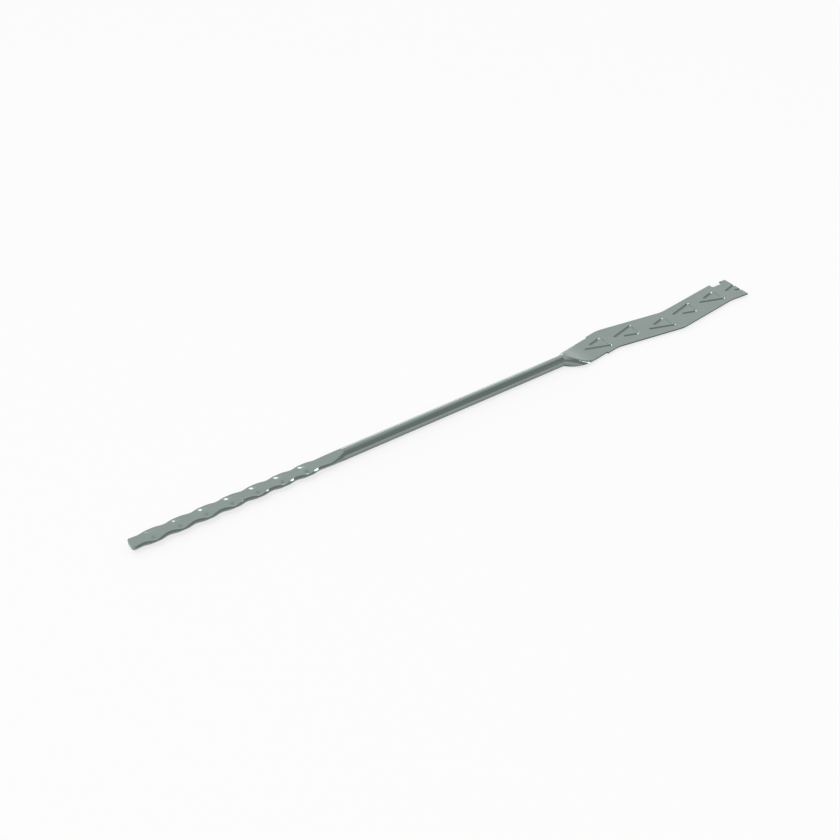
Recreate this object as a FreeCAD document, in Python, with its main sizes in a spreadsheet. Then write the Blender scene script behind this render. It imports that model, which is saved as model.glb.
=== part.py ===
"""Cavity wall tie: one steel strip, rolled to a slim tube for the shank, pressed flat and crimped at the
mortar end, and opened out to a flat zigzag blade with pressed beads at the block end.

Millimetres. X runs along the tie from the crimped tip to the blade, Z is up. The origin is at mid length,
under the tube, on the surface that the tube lies on.
"""

import FreeCAD
import Part
import Sketcher

import math
import operator
import os

SIZES = {
    # The strip and the tube that it is rolled to.
    "strip_thickness": 0.5,
    "strip_width": 10.9,
    "seam_gap": 0.2,
    # Lengths along the tie, from the tip to the neck.
    "tip_lead": 7.43,
    "bulge_pitch": 8.635,
    "bulge_count": 7,
    "bar_run": 8.12,
    "press_shoulder": 5.3,
    "shank_length": 90.3,
    "neck_length": 11.0,
    "tip_radius": 1.6,
    # Cross sections of the pressed end: over a bulge, between two bulges, and on the plain bar.
    "crest_width": 6.05,
    "crest_wing_width": 5.5,
    "crest_scoop_width": 4.0,
    "crest_crown_width": 1.5,
    "crest_thickness": 1.35,
    "crest_scoop_thickness": 0.6,
    "crest_wing_thickness": 0.8,
    "crest_side_height": 0.3,
    "waist_width": 4.7,
    "waist_wing_width": 3.8,
    "waist_scoop_width": 3.3,
    "waist_crown_width": 2.8,
    "waist_thickness": 1.5,
    "waist_scoop_thickness": 1.49,
    "waist_wing_thickness": 1.46,
    "waist_side_height": 0.4,
    "bar_width": 5.15,
    "bar_wing_width": 4.5,
    "bar_scoop_width": 3.9,
    "bar_crown_width": 3.2,
    "bar_thickness": 1.25,
    "bar_scoop_thickness": 1.22,
    "bar_wing_thickness": 1.15,
    "bar_side_height": 0.45,
    # Half width of the flat between the two fold lines along the neck, the lip left at its end, and how far
    # its middle leans aside.
    "fold_first": 1.8,
    "fold_second": 3.3,
    "fold_third": 4.35,
    "neck_lip": 0.35,
    "neck_lean": -0.55,
    # The blade: its level below the tube's axis, its outline and its end.
    "blade_drop": 0.92,
    "blade_width": 12.0,
    "shoulder_run": 6.5,
    "first_bend": 12.05,
    "bend_pitch": 28.0,
    "end_run": 7.95,
    "neck_offset": 0.2,
    "bend_offset_1": 2.05,
    "bend_offset_2": -2.35,
    "bend_offset_3": 1.05,
    "end_offset": 0.5,
    "bend_radius": 12.0,
    "notch_length": 5.0,
    "notch_depth": 1.5,
    "ear_length": 2.8,
    "notch_radius": 0.7,
    # The pressed beads, three to a triangle, with each triangle's own place across the blade.
    "bead_first": 1.25,
    "bead_pitch": 13.9,
    "bead_length": 9.2,
    "bead_far_rise": 2.2,
    "bead_near_fall": 3.15,
    "bead_point_gap": 0.5,
    "bead_short_start": 3.4,
    "bead_short_length": 4.6,
    "bead_width": 1.1,
    "rib_width": 1.5,
    "bead_depth": 0.38,
    "bead_slope": 50.0,
    "cross_depth": 0.15,
    "cross_slope": 68.0,
    "cross_clearance": 1.3,
    "bead_y_1": 1.45,
    "bead_y_2": 1.05,
    "bead_y_3": -1.95,
    "bead_y_4": -0.2,
    "bead_y_5": 0.55,
    "bead_y_6": 0.4,
}

BENDS = 3
TRIANGLES = 6


class Size:
    """A size as a number together with the sheet formula that gives it."""

    def __init__(self, formula, number):
        self.formula = formula
        self.number = number

    def joined(self, sign, work, other, swapped=False):
        if not isinstance(other, Size):
            other = Size(repr(other), other)
        first, second = (other, self) if swapped else (self, other)
        return Size(f"({first.formula} {sign} {second.formula})", work(first.number, second.number))

    def __add__(self, other):
        return self.joined("+", operator.add, other)

    def __radd__(self, other):
        return self.joined("+", operator.add, other, swapped=True)

    def __sub__(self, other):
        return self.joined("-", operator.sub, other)

    def __rsub__(self, other):
        return self.joined("-", operator.sub, other, swapped=True)

    def __mul__(self, other):
        return self.joined("*", operator.mul, other)

    def __rmul__(self, other):
        return self.joined("*", operator.mul, other, swapped=True)

    def __truediv__(self, other):
        return self.joined("/", operator.truediv, other)

    def __neg__(self):
        return 0.0 - self


doc = FreeCAD.newDocument("wall_tie")
sheet = doc.addObject("Spreadsheet::Sheet", "Sizes")
for row, (alias, value) in enumerate(SIZES.items(), start=1):
    sheet.set(f"A{row}", alias)
    sheet.set(f"B{row}", str(value))
    sheet.setAlias(f"B{row}", alias)
doc.recompute()


def size(alias):
    """One cell of the sheet."""
    return Size(f"Sizes.{alias}", float(sheet.get(alias)))


body = doc.addObject("PartDesign::Body", "WallTie")
body.Label = "wall_tie"


# The strip rolls up on its middle line, so its width sets the radius of the tube.
thickness = size("strip_thickness")
roll_radius = (size("strip_width") - size("seam_gap")) / (2 * math.pi)
outer_radius = roll_radius + thickness / 2
closed_flat = size("seam_gap") / 2
axis_level = outer_radius
tube_top = axis_level + outer_radius
blade_top = axis_level - size("blade_drop") + thickness / 2

# Stations along the tie, first from the tip and then from mid length.
tip_station = 0 * size("tip_lead")
last_crest = size("tip_lead") + (size("bulge_count") - 1) * size("bulge_pitch")
bar_end = last_crest + size("bar_run")
tube_start = bar_end + size("press_shoulder")
neck_start = tube_start + size("shank_length")
neck_end = neck_start + size("neck_length")
bends = [neck_end + size("first_bend") + number * size("bend_pitch") for number in range(BENDS)]
blade_end = bends[-1] + size("end_run")
mid_length = blade_end / 2


def from_middle(station):
    """X of a station that is counted from the tip."""
    return station - mid_length


def sketch_at(name, role, level):
    """An empty sketch on one of the body's own planes, moved along that plane's normal."""
    sketch = body.newObject("Sketcher::SketchObject", name)
    plane = next(feature for feature in body.Origin.OriginFeatures if feature.Role == role)
    sketch.AttachmentSupport = [(plane, "")]
    sketch.MapMode = "FlatFace"
    sketch.setExpression("AttachmentOffset.Base.z", level.formula)
    return sketch


START, END, CENTRE = range(1, 4)
ORIGIN = (-1, 1)


def bind(sketch, kind, *where, to):
    """A constraint that follows a size."""
    index = sketch.addConstraint(Sketcher.Constraint(kind, *where, to.number))
    sketch.setExpression(f"Constraints[{index}]", to.formula)


def pin(sketch, edge, point, x, y):
    """Hold one point of an edge at a place in the sketch."""
    bind(sketch, "DistanceX", *ORIGIN, edge, point, to=x)
    bind(sketch, "DistanceY", *ORIGIN, edge, point, to=y)


def vector(x, y):
    return FreeCAD.Vector(x.number, y.number, 0)


def add_outline(sketch, corners):
    """A closed outline of straight edges through its corners."""
    following = corners[1:] + corners[:1]
    edges = [sketch.addGeometry(Part.LineSegment(vector(*a), vector(*b))) for a, b in zip(corners, following)]
    for edge, next_edge, corner in zip(edges, edges[1:] + edges[:1], corners):
        sketch.addConstraint(Sketcher.Constraint("Coincident", edge, END, next_edge, START))
        pin(sketch, edge, START, *corner)
    return edges


def draw_arc(sketch, centre, radius, start_angle, end_angle):
    """An arc about a centre, turning left from one angle to the other, in degrees, still free."""
    circle = Part.Circle(vector(*centre), FreeCAD.Vector(0, 0, 1), radius.number)
    return sketch.addGeometry(Part.ArcOfCircle(circle, math.radians(start_angle), math.radians(end_angle)))


def add_arc(sketch, centre, radius, start_angle, end_angle):
    """An arc that keeps its radius."""
    arc = draw_arc(sketch, centre, radius, start_angle, end_angle)
    bind(sketch, "Radius", arc, to=radius)
    return arc


def add_line_between(sketch, first, first_point, second, second_point, tangent=False):
    """A line that joins the ends of two edges, in line with them where it is tangent."""
    ends = (sketch.getPoint(first, first_point), sketch.getPoint(second, second_point))
    line = sketch.addGeometry(Part.LineSegment(*ends))
    joint = "Tangent" if tangent else "Coincident"
    sketch.addConstraint(Sketcher.Constraint(joint, first, first_point, line, START))
    sketch.addConstraint(Sketcher.Constraint(joint, line, END, second, second_point))
    return line


def add_slot(sketch, start, end, width):
    """A straight slot with round ends about two centres."""
    heading = math.degrees(math.atan2((end[1] - start[1]).number, (end[0] - start[0]).number))
    tail = add_arc(sketch, start, width / 2, heading + 90, heading + 270)
    head = add_arc(sketch, end, width / 2, heading - 90, heading + 90)
    pin(sketch, tail, CENTRE, *start)
    pin(sketch, head, CENTRE, *end)
    add_line_between(sketch, tail, END, head, START, tangent=True)
    add_line_between(sketch, head, END, tail, START, tangent=True)


def add_box(sketch, first, last, low, high):
    """A rectangle between two stations along the tie."""
    left, right = from_middle(first), from_middle(last)
    add_outline(sketch, [(left, low), (right, low), (right, high), (left, high)])


def add_path(sketch, first, first_point, corners, last, last_point):
    """Straight edges from the end of one edge, through some corners, to the end of another."""
    edges = [sketch.addGeometry(Part.LineSegment(vector(*a), vector(*b))) for a, b in zip(corners, corners[1:])]
    sketch.addConstraint(Sketcher.Constraint("Coincident", first, first_point, edges[0], START))
    sketch.addConstraint(Sketcher.Constraint("Coincident", edges[-1], END, last, last_point))
    for edge, next_edge in zip(edges, edges[1:]):
        sketch.addConstraint(Sketcher.Constraint("Coincident", edge, END, next_edge, START))
    for edge, corner in zip(edges[1:], corners[1:]):
        pin(sketch, edge, START, *corner)


def add_loft(name, sections):
    """A solid through cross sections, smooth along the tie."""
    loft = body.newObject("PartDesign::AdditiveLoft", name)
    loft.Profile = sections[0]
    loft.Sections = sections[1:]
    loft.Ruled = False
    doc.recompute()
    return loft


def add_pad(name, profile, length, downward=False):
    """A solid of one profile along its normal, or the other way."""
    pad = body.newObject("PartDesign::Pad", name)
    pad.Profile = profile
    pad.Reversed = downward
    pad.setExpression("Length", length.formula)
    return pad


def add_pocket(name, profile, depth=None):
    """A cut from its sketch, to a depth or right through both ways."""
    doc.recompute()
    before = body.Shape.Volume
    pocket = body.newObject("PartDesign::Pocket", name)
    pocket.Profile = profile
    if depth is None:
        pocket.Type = "ThroughAll"
        pocket.Midplane = True
    else:
        pocket.setExpression("Length", depth.formula)
    doc.recompute()
    if body.Shape.Volume >= before:
        raise RuntimeError(f"{name} cuts nothing")
    return pocket


# The blade: the strip lies flat, steps out to its full width at two small shoulders and runs in a zigzag.
# It is first made longer than it ends up, because the end is sheared after the beads are pressed.
corners = [(neck_end, size("neck_offset"))]
corners += [(bend, size(f"bend_offset_{number}")) for number, bend in enumerate(bends, start=1)]
corners.append((blade_end, size("end_offset")))


def middle_line(station, bends_passed):
    """Y of the blade's middle line on one leg of the zigzag."""
    (leg_start, start_offset), (leg_end, end_offset) = corners[bends_passed:bends_passed + 2]
    share = (station - leg_start) / (leg_end - leg_start)
    return start_offset + share * (end_offset - start_offset)


shoulder = neck_end + size("shoulder_run")
shear_spare = size("bead_length")
spare_end = blade_end + shear_spare
half_strip = size("strip_width") / 2
half_blade = size("blade_width") / 2
edge_stations = [(neck_end, 0, half_strip), (shoulder, 0, half_strip), (shoulder, 0, half_blade)]
edge_stations += [(bend, number, half_blade) for number, bend in enumerate(bends)]
edge_stations.append((spare_end, len(bends), half_blade))
near_edge = [(from_middle(x), middle_line(x, passed) - half) for x, passed, half in edge_stations]
far_edge = [(from_middle(x), middle_line(x, passed) + half) for x, passed, half in edge_stations]
blade_sketch = sketch_at("BladeOutline", "XY_Plane", blade_top)
add_outline(blade_sketch, near_edge + far_edge[::-1])
blade = add_pad("Blade", blade_sketch, thickness, downward=True)
doc.recompute()


SAME_STATION = 0.01


def upright_edges(feature, stations):
    """Names of the feature's upright edges at some stations."""
    names = []
    for number, edge in enumerate(feature.Shape.Edges, start=1):
        along = edge.tangentAt(edge.FirstParameter)
        place = edge.Vertexes[0].Point.x
        at_station = any(math.isclose(place, from_middle(x).number, abs_tol=SAME_STATION) for x in stations)
        if at_station and math.isclose(abs(along.z), 1.0):
            names.append(f"Edge{number}")
    return names


soft_bends = body.newObject("PartDesign::Fillet", "SoftBends")
soft_bends.Base = (blade, upright_edges(blade, bends))
soft_bends.setExpression("Radius", size("bend_radius").formula)
doc.recompute()


# The beads: each triangle points at the shank. One long bead runs from its point, a short one makes half of
# the other side, and a faint one crosses between them. They alternate, with the long bead near and then far.
def triangle_lines(number):
    """The far and the near side bead of a triangle, each from its left end to its right end."""
    point = neck_end + size("bead_first") + number * size("bead_pitch")
    middle = size(f"bead_y_{number + 1}")
    rise = size("bead_far_rise") / size("bead_length")
    fall = size("bead_near_fall") / size("bead_length")
    short_end = size("bead_short_start") + size("bead_short_length")
    at_point = 0 * size("bead_length")
    long_run = (at_point, size("bead_length"))
    short_run = (size("bead_short_start"), short_end)
    far_run, near_run = (short_run, long_run) if number % 2 == 0 else (long_run, short_run)
    far_line = [(from_middle(point + run), middle + size("bead_point_gap") / 2 + rise * run) for run in far_run]
    near_line = [(from_middle(point + run), middle - size("bead_point_gap") / 2 - fall * run) for run in near_run]
    return far_line, near_line


def cross_line(number):
    """From one side of a triangle's base to the other, clear of the two side beads."""
    x_end = from_middle(neck_end + size("bead_first") + number * size("bead_pitch") + size("bead_length"))
    middle = size(f"bead_y_{number + 1}")
    far_reach = size("bead_far_rise") - size("cross_clearance")
    near_reach = size("bead_near_fall") - size("cross_clearance")
    return (x_end, middle - near_reach), (x_end, middle + far_reach)


def press_beads(name, lines, depth, slope):
    """Sink a groove along each line and raise the same metal as a rib on the underside."""
    rib_sketch = sketch_at(f"{name}RibOutline", "XY_Plane", blade_top - thickness)
    groove_sketch = sketch_at(f"{name}GrooveOutline", "XY_Plane", blade_top)
    for start, end in lines:
        add_slot(rib_sketch, start, end, size("rib_width"))
        add_slot(groove_sketch, start, end, size("bead_width"))
    ribs = add_pad(f"{name}Rib", rib_sketch, depth, downward=True)
    grooves = add_pocket(f"{name}Groove", groove_sketch, depth)
    for feature in (ribs, grooves):
        feature.setExpression("TaperAngle", f"-{slope.formula}")
    doc.recompute()


for number in range(TRIANGLES):
    press_beads(f"Triangle{number + 1}", triangle_lines(number), size("bead_depth"), size("bead_slope"))
crossings = [cross_line(number) for number in range(TRIANGLES - 1)]
press_beads("Crossing", crossings, size("cross_depth"), size("cross_slope"))

# The end is sheared square, and a notch in the far edge leaves a small ear at the corner.
shear_sketch = sketch_at("ShearOutline", "XY_Plane", blade_top)
add_box(shear_sketch, blade_end, spare_end + shear_spare, -size("blade_width"), size("blade_width"))
add_pocket("Shear", shear_sketch)

ear_start = blade_end - size("ear_length")
notch_start = ear_start - size("notch_length")
notch_floor = middle_line(ear_start, len(bends)) + half_blade - size("notch_depth")
round_level = notch_floor + size("notch_radius")
round_start = (from_middle(notch_start + size("notch_radius")), round_level)
round_end = (from_middle(ear_start - size("notch_radius")), round_level)
floor_sketch = sketch_at("NotchFloorOutline", "XY_Plane", blade_top)
add_slot(floor_sketch, round_start, round_end, 2 * size("notch_radius"))
add_pocket("NotchFloor", floor_sketch)
mouth_sketch = sketch_at("NotchMouthOutline", "XY_Plane", blade_top)
add_box(mouth_sketch, notch_start, ear_start, round_level, round_level + size("blade_width"))
add_pocket("NotchMouth", mouth_sketch)


# The neck and the shank share one cross section: a flat crown between two fold lines, with both edges of the
# strip curled down from it at the roll radius. On the shank the edges meet in a seam under the tube.
def curled_section(name, station, half_flat, top_level, middle):
    sketch = sketch_at(name, "YZ_Plane", from_middle(station))
    curl = (half_strip - half_flat) / roll_radius * (180 / math.pi)
    inner_radius = outer_radius - thickness
    pairs = []
    for side, top_point, lip_point in ((1, END, START), (-1, START, END)):
        centre = (middle + side * half_flat, top_level - outer_radius)
        angles = sorted((90, 90 - side * curl.number))
        pair = [add_arc(sketch, centre, radius, *angles) for radius in (outer_radius, inner_radius)]
        pin(sketch, pair[0], CENTRE, *centre)
        sketch.addConstraint(Sketcher.Constraint("Coincident", pair[0], CENTRE, pair[1], CENTRE))
        for arc in pair:
            sketch.addConstraint(Sketcher.Constraint("Vertical", arc, top_point, arc, CENTRE))
            index = sketch.addConstraint(Sketcher.Constraint("Angle", arc, math.radians(curl.number)))
            sketch.setExpression(f"Constraints[{index}]", f"{curl.formula} * 1 deg")
        add_line_between(sketch, pair[0], lip_point, pair[1], lip_point)
        pairs.append(pair)
    (far_outer, far_inner), (near_outer, near_inner) = pairs
    add_line_between(sketch, near_outer, START, far_outer, END)
    add_line_between(sketch, far_inner, END, near_inner, START)
    return sketch


# The neck: the seam opens, the curled edges swing out and the crown sinks to the level of the blade. Its middle
# leans aside on the way, and ends on the first leg of the zigzag. The crown sinks late, so that the curled edges
# stay above the bottom of the tube.
NECK_SINK = (0, 0.135, 0.53, 0.85, 1)
folds = [
    closed_flat,
    size("fold_first"),
    size("fold_second"),
    size("fold_third"),
    half_strip - size("neck_lip"),
]
neck_sections = []
for step, (half_flat, sunk) in enumerate(zip(folds, NECK_SINK)):
    share = step / (len(folds) - 1)
    station = neck_start + share * size("neck_length")
    level = tube_top - sunk * (tube_top - blade_top)
    bow = 4 * share * (1 - share)
    middle = share * share * middle_line(neck_end, 0) + bow * size("neck_lean")
    neck_sections.append(curled_section(f"Neck{step}", station, half_flat, level, middle))
add_loft("Neck", neck_sections)

on_axis = 0 * closed_flat
shank_section = curled_section("ShankSection", tube_start, closed_flat, tube_top, on_axis)
add_pad("Shank", shank_section, size("shank_length"))
doc.recompute()


# The pressed end: the tube is squeezed to a solid bar and then pinched at even steps, so that its sides spread
# into a row of thin wings with thicker waists between them. A crown runs on along the middle of the row, and
# each wing has a scoop pressed into it beside the crown.
SECTION_WIDTHS = ("crown_width", "scoop_width", "wing_width", "width")
SECTION_HEIGHTS = ("thickness", "scoop_thickness", "wing_thickness", "side_height")
SECTION_PARTS = SECTION_WIDTHS + SECTION_HEIGHTS
forms = {form: {part: size(f"{form}_{part}") for part in SECTION_PARTS} for form in ("crest", "waist", "bar")}


def pressed_section(name, station, form):
    """A cross section with a flat crown, a scoop, a wing, a side facet and their mirror images."""
    middle = (closed_flat, form["thickness"] / 2)
    crown = (form["crown_width"] / 2, form["thickness"] / 2)
    scoop = (form["scoop_width"] / 2, form["scoop_thickness"] / 2)
    wing = (form["wing_width"] / 2, form["wing_thickness"] / 2)
    side = (form["width"] / 2, form["side_height"] / 2)
    far_top = [middle, crown, scoop, wing, side]
    far = far_top + [(y, -z) for y, z in reversed(far_top)]
    near = [(-y, z) for y, z in reversed(far)]
    sketch = sketch_at(name, "YZ_Plane", from_middle(station))
    add_outline(sketch, [(y, axis_level + z) for y, z in far + near])
    return sketch


# The shoulder where the tube closes down to the flat bar, and the bar that narrows to the first waist. The
# tube's outside is divided like the bar's, so that each part of it runs straight into one face of the bar.
DIVISIONS = (90, 70, 56, 42, 14, -14, -42, -56, -70, -90)


def tube_outline(name, station):
    """The outside of the closed tube: two half rounds set apart by the seam's gap."""
    sketch = sketch_at(name, "YZ_Plane", from_middle(station))
    ends = []
    for side in (1, -1):
        centre = (side * closed_flat, axis_level)
        above, below = (END, START) if side > 0 else (START, END)
        arcs = []
        for high, low in zip(DIVISIONS, DIVISIONS[1:]):
            angles = (low, high) if side > 0 else (180 - high, 180 - low)
            arc = draw_arc(sketch, centre, outer_radius, *angles)
            if arcs:
                sketch.addConstraint(Sketcher.Constraint("Coincident", arcs[0], CENTRE, arc, CENTRE))
                sketch.addConstraint(Sketcher.Constraint("Coincident", arcs[-1], below, arc, above))
            else:
                pin(sketch, arc, CENTRE, *centre)
                bind(sketch, "Radius", arc, to=outer_radius)
                sketch.addConstraint(Sketcher.Constraint("Vertical", arc, above, arc, CENTRE))
            if low > DIVISIONS[-1]:
                level = axis_level + outer_radius * math.sin(math.radians(low))
                bind(sketch, "DistanceY", *ORIGIN, arc, below, to=level)
            else:
                sketch.addConstraint(Sketcher.Constraint("Vertical", arc, below, arc, CENTRE))
            arcs.append(arc)
        ends.append((arcs[0], above, arcs[-1], below))
    (far_top, far_above, far_bottom, far_below), (near_top, near_above, near_bottom, near_below) = ends
    add_line_between(sketch, far_top, far_above, near_top, near_above)
    add_line_between(sketch, near_bottom, near_below, far_bottom, far_below)
    return sketch


shoulder_ends = [
    tube_outline("ShoulderStart", tube_start),
    pressed_section("ShoulderEnd", bar_end, forms["bar"]),
]
add_loft("PressShoulder", shoulder_ends)
bar_ends = [
    pressed_section("BarStart", bar_end, forms["bar"]),
    pressed_section("BarEnd", last_crest + size("bulge_pitch") / 2, forms["waist"]),
]
add_loft("Bar", bar_ends)

# One bulge swells like a cosine from waist to waist, and its scoops are shorter and sharper than that. The row
# is a pattern of it.
BULGE_STEPS = 8
SCOOP_POWER = 3
bulge_sections = []
for step in range(BULGE_STEPS + 1):
    share = step / BULGE_STEPS
    swell = (1 - math.cos(2 * math.pi * share)) / 2
    form = {}
    for part in SECTION_PARTS:
        pressed = swell if part in SECTION_WIDTHS else swell ** SCOOP_POWER
        form[part] = pressed * forms["crest"][part] + (1 - pressed) * forms["waist"][part]
    station = last_crest + (share - 0.5) * size("bulge_pitch")
    bulge_sections.append(pressed_section(f"Bulge{step}", station, form))
bulge = add_loft("Bulge", bulge_sections)
bulges = body.newObject("PartDesign::LinearPattern", "Bulges")
bulges.Originals = [bulge]
bulges.Direction = (next(axis for axis in body.Origin.OriginFeatures if axis.Role == "X_Axis"), [""])
bulges.Reversed = True
bulges.setExpression("Length", ((size("bulge_count") - 1) * size("bulge_pitch")).formula)
bulges.setExpression("Occurrences", size("bulge_count").formula)
body.Tip = bulges
doc.recompute()
tip_ends = [
    pressed_section("TipStart", size("tip_lead") - size("bulge_pitch") / 2, forms["waist"]),
    pressed_section("TipEnd", tip_station, forms["bar"]),
]
add_loft("Tip", tip_ends)

# The tip's two corners are rounded off in plan.
tip_sketch = sketch_at("TipOutline", "XY_Plane", axis_level)
tip_x = from_middle(tip_station)
corner = size("tip_radius")
half_tip = size("bar_width") / 2
spare_y = half_tip + corner
far_round = add_arc(tip_sketch, (tip_x + corner, half_tip - corner), corner, 90, 180)
near_round = add_arc(tip_sketch, (tip_x + corner, corner - half_tip), corner, 180, 270)
pin(tip_sketch, far_round, CENTRE, tip_x + corner, half_tip - corner)
pin(tip_sketch, near_round, CENTRE, tip_x + corner, corner - half_tip)
tip_sketch.addConstraint(Sketcher.Constraint("Vertical", far_round, START, far_round, CENTRE))
tip_sketch.addConstraint(Sketcher.Constraint("Vertical", near_round, END, near_round, CENTRE))
add_line_between(tip_sketch, far_round, END, near_round, START, tangent=True)
waste = [(tip_x + corner, -half_tip), (tip_x + corner, -spare_y), (tip_x - corner, -spare_y)]
waste += [(x, -y) for x, y in reversed(waste)]
add_path(tip_sketch, near_round, END, waste, far_round, START)
add_pocket("TipRounds", tip_sketch)

# The seam runs on under the pressed end, where the two edges of the strip meet below its middle.
seam_sketch = sketch_at("SeamOutline", "XY_Plane", axis_level)
add_box(seam_sketch, tip_station - thickness, tube_start, -closed_flat, closed_flat)
add_pocket("Seam", seam_sketch, axis_level)

for item in doc.Objects:
    if "Invalid" in item.State or "Error" in item.State:
        raise RuntimeError(f"{item.Name} failed: {item.State}")
shape = body.Shape
if shape.isNull() or not shape.isValid() or len(shape.Solids) != 1:
    raise RuntimeError(f"the tie is not one valid solid: {len(shape.Solids)} solids")

os.makedirs("parts", exist_ok=True)
shape.exportStep(f"parts/{body.Label}.step")
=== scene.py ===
import math

import bpy
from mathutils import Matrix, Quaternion, Vector


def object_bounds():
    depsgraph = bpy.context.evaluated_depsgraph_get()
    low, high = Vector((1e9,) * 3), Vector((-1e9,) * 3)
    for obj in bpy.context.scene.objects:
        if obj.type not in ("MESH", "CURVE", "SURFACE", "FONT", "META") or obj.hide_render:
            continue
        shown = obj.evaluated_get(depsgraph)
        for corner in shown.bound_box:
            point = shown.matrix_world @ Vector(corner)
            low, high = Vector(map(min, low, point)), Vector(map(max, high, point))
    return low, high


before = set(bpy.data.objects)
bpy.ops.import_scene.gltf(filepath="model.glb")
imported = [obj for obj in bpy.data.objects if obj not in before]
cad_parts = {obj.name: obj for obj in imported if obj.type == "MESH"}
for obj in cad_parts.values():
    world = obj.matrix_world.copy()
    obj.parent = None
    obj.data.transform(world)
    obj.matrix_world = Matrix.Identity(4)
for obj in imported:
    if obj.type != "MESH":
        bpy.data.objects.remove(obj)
cad_low, cad_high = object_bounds()
tie_length = cad_high.x - cad_low.x

# The wall tie: one strip of stainless steel, rolled, pressed and crimped cold from end to end.
# The solid has the whole form, so it keeps its own mesh and takes the mill finish of the strip: a cool
# grey-green metal with rolling lines along it and a faint cloudiness. The upright sheared edges of the
# blade are painted darker: painted shade for the shadowed table top they reflect, over the duller
# steel of a cut edge.
MM = 0.001


def linear(hex_colour):
    """A linear colour with alpha from an sRGB hex value."""
    shares = [int(hex_colour[start:start + 2], 16) / 255 for start in (1, 3, 5)]
    return [
        share / 12.92 if share <= 0.04045 else ((share + 0.055) / 1.055) ** 2.4
        for share in shares
    ] + [1.0]


def add_node(tree, kind, settings=None, values=None, links=None):
    """Add a node with its settings, the values of its sockets and what is linked to them."""
    node = tree.nodes.new(kind)
    for name, value in (settings or {}).items():
        setattr(node, name, value)
    for socket, value in (values or {}).items():
        node.inputs[socket].default_value = value
    for socket, source in (links or {}).items():
        tree.links.new(source, node.inputs[socket])
    return node


STEEL = "#94A09C"
STEEL_CLOUD = "#8B9793"
CLOUD_SIZE = 6 * MM
# Real rolling lines are finer than this, and are drawn as wide as they need to be to show.
ROLLING_LINE_WIDTH = 0.35 * MM
ROLLING_LINE_LENGTH = 14 * MM
ROLLING_LINE_DEPTH = 0.02 * MM
ROLLING_LINE_STRENGTH = 0.12
NOISE_LOW, NOISE_HIGH = 0.3, 0.7
ROUGHNESS_LOW, ROUGHNESS_HIGH = 0.07, 0.12
ANISOTROPY = 0.5
QUARTER_TURN = 0.25
# Painted shade: the blade's upright sheared edges take this darker colour, standing in for the
# shadowed table top they reflect, over the duller steel of a cut edge.
SHEARED_EDGE_SHADE = "#59615D"
LEANING_FACE, UPRIGHT_FACE = 0.3, 0.1
BLADE_START = 46 * MM
BLADE_BLEND = 2 * MM

steel = bpy.data.materials.new("mill_finish_stainless_steel")
steel.use_nodes = True
tree = steel.node_tree
tree.nodes.clear()
place = add_node(tree, "ShaderNodeTexCoord")
along_strip = add_node(
    tree,
    "ShaderNodeMapping",
    values={"Scale": (1 / ROLLING_LINE_LENGTH, 1 / ROLLING_LINE_WIDTH, 1 / ROLLING_LINE_WIDTH)},
    links={"Vector": place.outputs["Object"]},
)
rolling_lines = add_node(
    tree,
    "ShaderNodeTexNoise",
    values={"Scale": 1.0, "Detail": 3.0, "Roughness": 0.55},
    links={"Vector": along_strip.outputs["Vector"]},
)
clouds = add_node(
    tree,
    "ShaderNodeTexNoise",
    values={"Scale": 1 / CLOUD_SIZE, "Detail": 4.0, "Roughness": 0.6},
    links={"Vector": place.outputs["Object"]},
)
colour = add_node(
    tree,
    "ShaderNodeMix",
    {"data_type": "RGBA"},
    {"A": linear(STEEL), "B": linear(STEEL_CLOUD)},
    {"Factor": clouds.outputs["Fac"]},
)
# Painted shade: the blade's upright faces, which are its sheared edges, are mixed toward the darker
# edge colour, standing in for the shadowed table top they reflect.
facing = add_node(tree, "ShaderNodeSeparateXYZ", links={"Vector": place.outputs["Normal"]})
flatness = add_node(
    tree,
    "ShaderNodeMath",
    {"operation": "ABSOLUTE"},
    links={0: facing.outputs["Z"]},
)
upright = add_node(
    tree,
    "ShaderNodeMapRange",
    values={"From Min": LEANING_FACE, "From Max": UPRIGHT_FACE},
    links={"Value": flatness.outputs["Value"]},
)
station = add_node(tree, "ShaderNodeSeparateXYZ", links={"Vector": place.outputs["Object"]})
on_blade = add_node(
    tree,
    "ShaderNodeMapRange",
    values={"From Min": BLADE_START, "From Max": BLADE_START + BLADE_BLEND},
    links={"Value": station.outputs["X"]},
)
sheared_edge_shade_mask = add_node(
    tree,
    "ShaderNodeMath",
    {"operation": "MULTIPLY"},
    links={0: upright.outputs["Result"], 1: on_blade.outputs["Result"]},
)
colour_with_edge_shade = add_node(
    tree,
    "ShaderNodeMix",
    {"data_type": "RGBA"},
    {"B": linear(SHEARED_EDGE_SHADE)},
    {"Factor": sheared_edge_shade_mask.outputs["Value"], "A": colour.outputs["Result"]},
)
sheen = add_node(
    tree,
    "ShaderNodeMapRange",
    values={
        "From Min": NOISE_LOW,
        "From Max": NOISE_HIGH,
        "To Min": ROUGHNESS_LOW,
        "To Max": ROUGHNESS_HIGH,
    },
    links={"Value": rolling_lines.outputs["Fac"]},
)
lines_bump = add_node(
    tree,
    "ShaderNodeBump",
    values={"Strength": ROLLING_LINE_STRENGTH, "Distance": ROLLING_LINE_DEPTH},
    links={"Height": rolling_lines.outputs["Fac"]},
)
strip_length = add_node(tree, "ShaderNodeCombineXYZ", values={"X": 1.0})
surface = add_node(
    tree,
    "ShaderNodeBsdfPrincipled",
    values={"Metallic": 1.0, "Anisotropic": ANISOTROPY, "Anisotropic Rotation": QUARTER_TURN},
    links={
        "Tangent": strip_length.outputs["Vector"],
        "Base Color": colour_with_edge_shade.outputs["Result"],
        "Roughness": sheen.outputs["Result"],
        "Normal": lines_bump.outputs["Normal"],
    },
)
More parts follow.
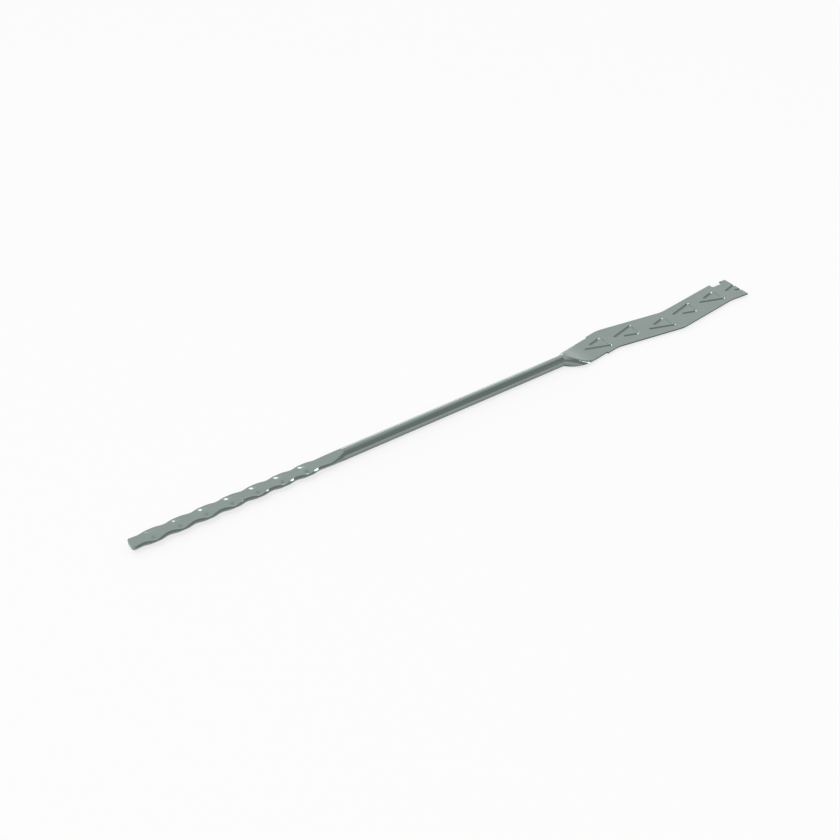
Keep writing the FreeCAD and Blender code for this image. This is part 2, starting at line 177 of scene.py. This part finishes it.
add_node(tree, "ShaderNodeOutputMaterial", links={"Surface": surface.outputs["BSDF"]})

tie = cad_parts["wall_tie"]
tie.material_slots[0].material = steel

# The floor: a plain white table top under the tie. It shows as white and keeps a soft shadow.
# In the steel it is seen less bright, as a table top that the tie itself shades.
TABLE_TOP = "#F4F4F4"
WHITE = "#FFFFFF"
FLOOR_REACH = 20 * tie_length
FLOOR_WHITE = 0.75
FLOOR_IN_STEEL = 0.05

floor_material = bpy.data.materials.new("white_table_top")
floor_material.use_nodes = True
tree = floor_material.node_tree
tree.nodes.clear()
lit = add_node(tree, "ShaderNodeBsdfDiffuse", values={"Color": linear(TABLE_TOP)})
white = add_node(tree, "ShaderNodeEmission", values={"Color": linear(WHITE), "Strength": 1.0})
path = add_node(tree, "ShaderNodeLightPath")
seen = add_node(
    tree,
    "ShaderNodeMath",
    {"operation": "MAXIMUM"},
    links={0: path.outputs["Is Camera Ray"], 1: path.outputs["Is Transmission Ray"]},
)
seen_share = add_node(
    tree,
    "ShaderNodeMath",
    {"operation": "MULTIPLY"},
    {1: FLOOR_WHITE},
    {0: seen.outputs["Value"]},
)
white_share = add_node(
    tree,
    "ShaderNodeMath",
    {"operation": "MULTIPLY_ADD"},
    {1: FLOOR_IN_STEEL},
    {0: path.outputs["Is Glossy Ray"], 2: seen_share.outputs["Value"]},
)
floor_look = add_node(
    tree,
    "ShaderNodeMixShader",
    links={0: white_share.outputs["Value"], 1: lit.outputs["BSDF"], 2: white.outputs["Emission"]},
)
add_node(tree, "ShaderNodeOutputMaterial", links={"Surface": floor_look.outputs["Shader"]})

bpy.ops.object.select_all(action="DESELECT")
bpy.ops.mesh.primitive_plane_add(size=FLOOR_REACH, location=(0, 0, cad_low.z))
floor = bpy.context.active_object
floor.name = "table_top"
floor.data.materials.append(floor_material)

# The studio: a grey room, pale at the back and overhead on the left, and grey in front where the
# camera stands. The steel reflects this room. What the camera sees of it past the table top is white.
ROOM_GREY = 0.45
WALL_PALE = 0.97
BACK_WALL_EDGE, BACK_WALL_FULL = 0.05, 0.5
CEILING_MIDDLE = Vector((-0.45, 0.2, 0.87)).normalized()
CEILING_EDGE, CEILING_FULL = 0.45, 0.85

world = bpy.data.worlds.new("studio")
bpy.context.scene.world = world
world.use_nodes = True
tree = world.node_tree
tree.nodes.clear()
direction = add_node(tree, "ShaderNodeTexCoord")
parts = add_node(tree, "ShaderNodeSeparateXYZ", links={"Vector": direction.outputs["Generated"]})
backward = add_node(
    tree,
    "ShaderNodeMapRange",
    {"interpolation_type": "SMOOTHSTEP"},
    {"From Min": BACK_WALL_EDGE, "From Max": BACK_WALL_FULL},
    {"Value": parts.outputs["Y"]},
)
towards_ceiling = add_node(
    tree,
    "ShaderNodeVectorMath",
    {"operation": "DOT_PRODUCT"},
    {1: CEILING_MIDDLE},
    {0: direction.outputs["Generated"]},
)
overhead = add_node(
    tree,
    "ShaderNodeMapRange",
    {"interpolation_type": "SMOOTHSTEP"},
    {"From Min": CEILING_EDGE, "From Max": CEILING_FULL},
    {"Value": towards_ceiling.outputs["Value"]},
)
pale = add_node(
    tree,
    "ShaderNodeMath",
    {"operation": "MAXIMUM"},
    links={0: backward.outputs["Result"], 1: overhead.outputs["Result"]},
)
room = add_node(
    tree,
    "ShaderNodeMapRange",
    values={"To Min": ROOM_GREY, "To Max": WALL_PALE},
    links={"Value": pale.outputs["Value"]},
)
path = add_node(tree, "ShaderNodeLightPath")
seen = add_node(
    tree,
    "ShaderNodeMath",
    {"operation": "MAXIMUM"},
    links={0: path.outputs["Is Camera Ray"], 1: path.outputs["Is Transmission Ray"]},
)
brightness = add_node(
    tree,
    "ShaderNodeMix",
    {"data_type": "FLOAT"},
    {"B": 1.0},
    {"Factor": seen.outputs["Value"], "A": room.outputs["Result"]},
)
backdrop = add_node(
    tree,
    "ShaderNodeBackground",
    values={"Color": linear(WHITE)},
    links={"Strength": brightness.outputs["Result"]},
)
add_node(tree, "ShaderNodeOutputWorld", links={"Surface": backdrop.outputs["Background"]})

# The lamps: a soft box overhead on the left that glints on the ends of the grooves, a narrow slanted
# one low at the right that glints on the crimps, a slanted strip above it for the lip of the neck, and
# a low one at the back.
LAMP_DISTANCE = 6 * tie_length


def add_soft_box(name, towards, width, height, radiance, slant=0.0):
    """A rectangular lamp that faces the tie, with its radiance and its slant in degrees."""
    lamp = bpy.data.lights.new(name, "AREA")
    lamp.shape = "RECTANGLE"
    lamp.size = width
    lamp.size_y = height
    lamp.energy = radiance * math.pi * width * height
    soft_box = bpy.data.objects.new(name, lamp)
    bpy.context.scene.collection.objects.link(soft_box)
    heading = Vector(towards).normalized()
    lean = Quaternion((0, 0, 1), math.radians(slant))
    soft_box.location = heading * LAMP_DISTANCE
    soft_box.rotation_mode = "QUATERNION"
    soft_box.rotation_quaternion = heading.to_track_quat("Z", "Y") @ lean


add_soft_box(
    "overhead_soft_box",
    towards=(-0.38, 0.0, 0.925),
    width=0.34,
    height=0.34,
    radiance=12.0,
)
add_soft_box(
    "low_right_soft_box",
    towards=(0.643, -0.679, 0.367),
    width=0.16,
    height=0.24,
    radiance=7.0,
    slant=-18,
)
add_soft_box(
    "right_strip",
    towards=(0.7, -0.27, 0.66),
    width=0.45,
    height=0.12,
    radiance=5.0,
    slant=33,
)
add_soft_box(
    "low_back_soft_box",
    towards=(0.43, 0.85, 0.27),
    width=0.42,
    height=0.26,
    radiance=2.3,
)

# The camera stands to the front left and looks down along the tie, with the tip nearest.
CAMERA_PLACE = Vector((-208.0, -266.25, 253.55)) * MM
CAMERA_PAN = 34.9
CAMERA_TILT = 37.72
CAMERA_NEAREST = 10 * MM
FOCAL_PIXELS = 1255
IMAGE_PIXELS = 840

camera_data = bpy.data.cameras.new("camera")
camera_data.lens = FOCAL_PIXELS / IMAGE_PIXELS * camera_data.sensor_width
camera_data.clip_start = CAMERA_NEAREST
camera = bpy.data.objects.new("camera", camera_data)
bpy.context.scene.collection.objects.link(camera)
pan, tilt = math.radians(CAMERA_PAN), math.radians(CAMERA_TILT)
level_reach = math.cos(tilt)
sight = Vector((math.sin(pan) * level_reach, math.cos(pan) * level_reach, -math.sin(tilt)))
camera.location = CAMERA_PLACE
camera.rotation_mode = "QUATERNION"
camera.rotation_quaternion = sight.to_track_quat("-Z", "Y")
bpy.context.scene.camera = camera

bpy.context.scene.view_settings.view_transform = "Standard"
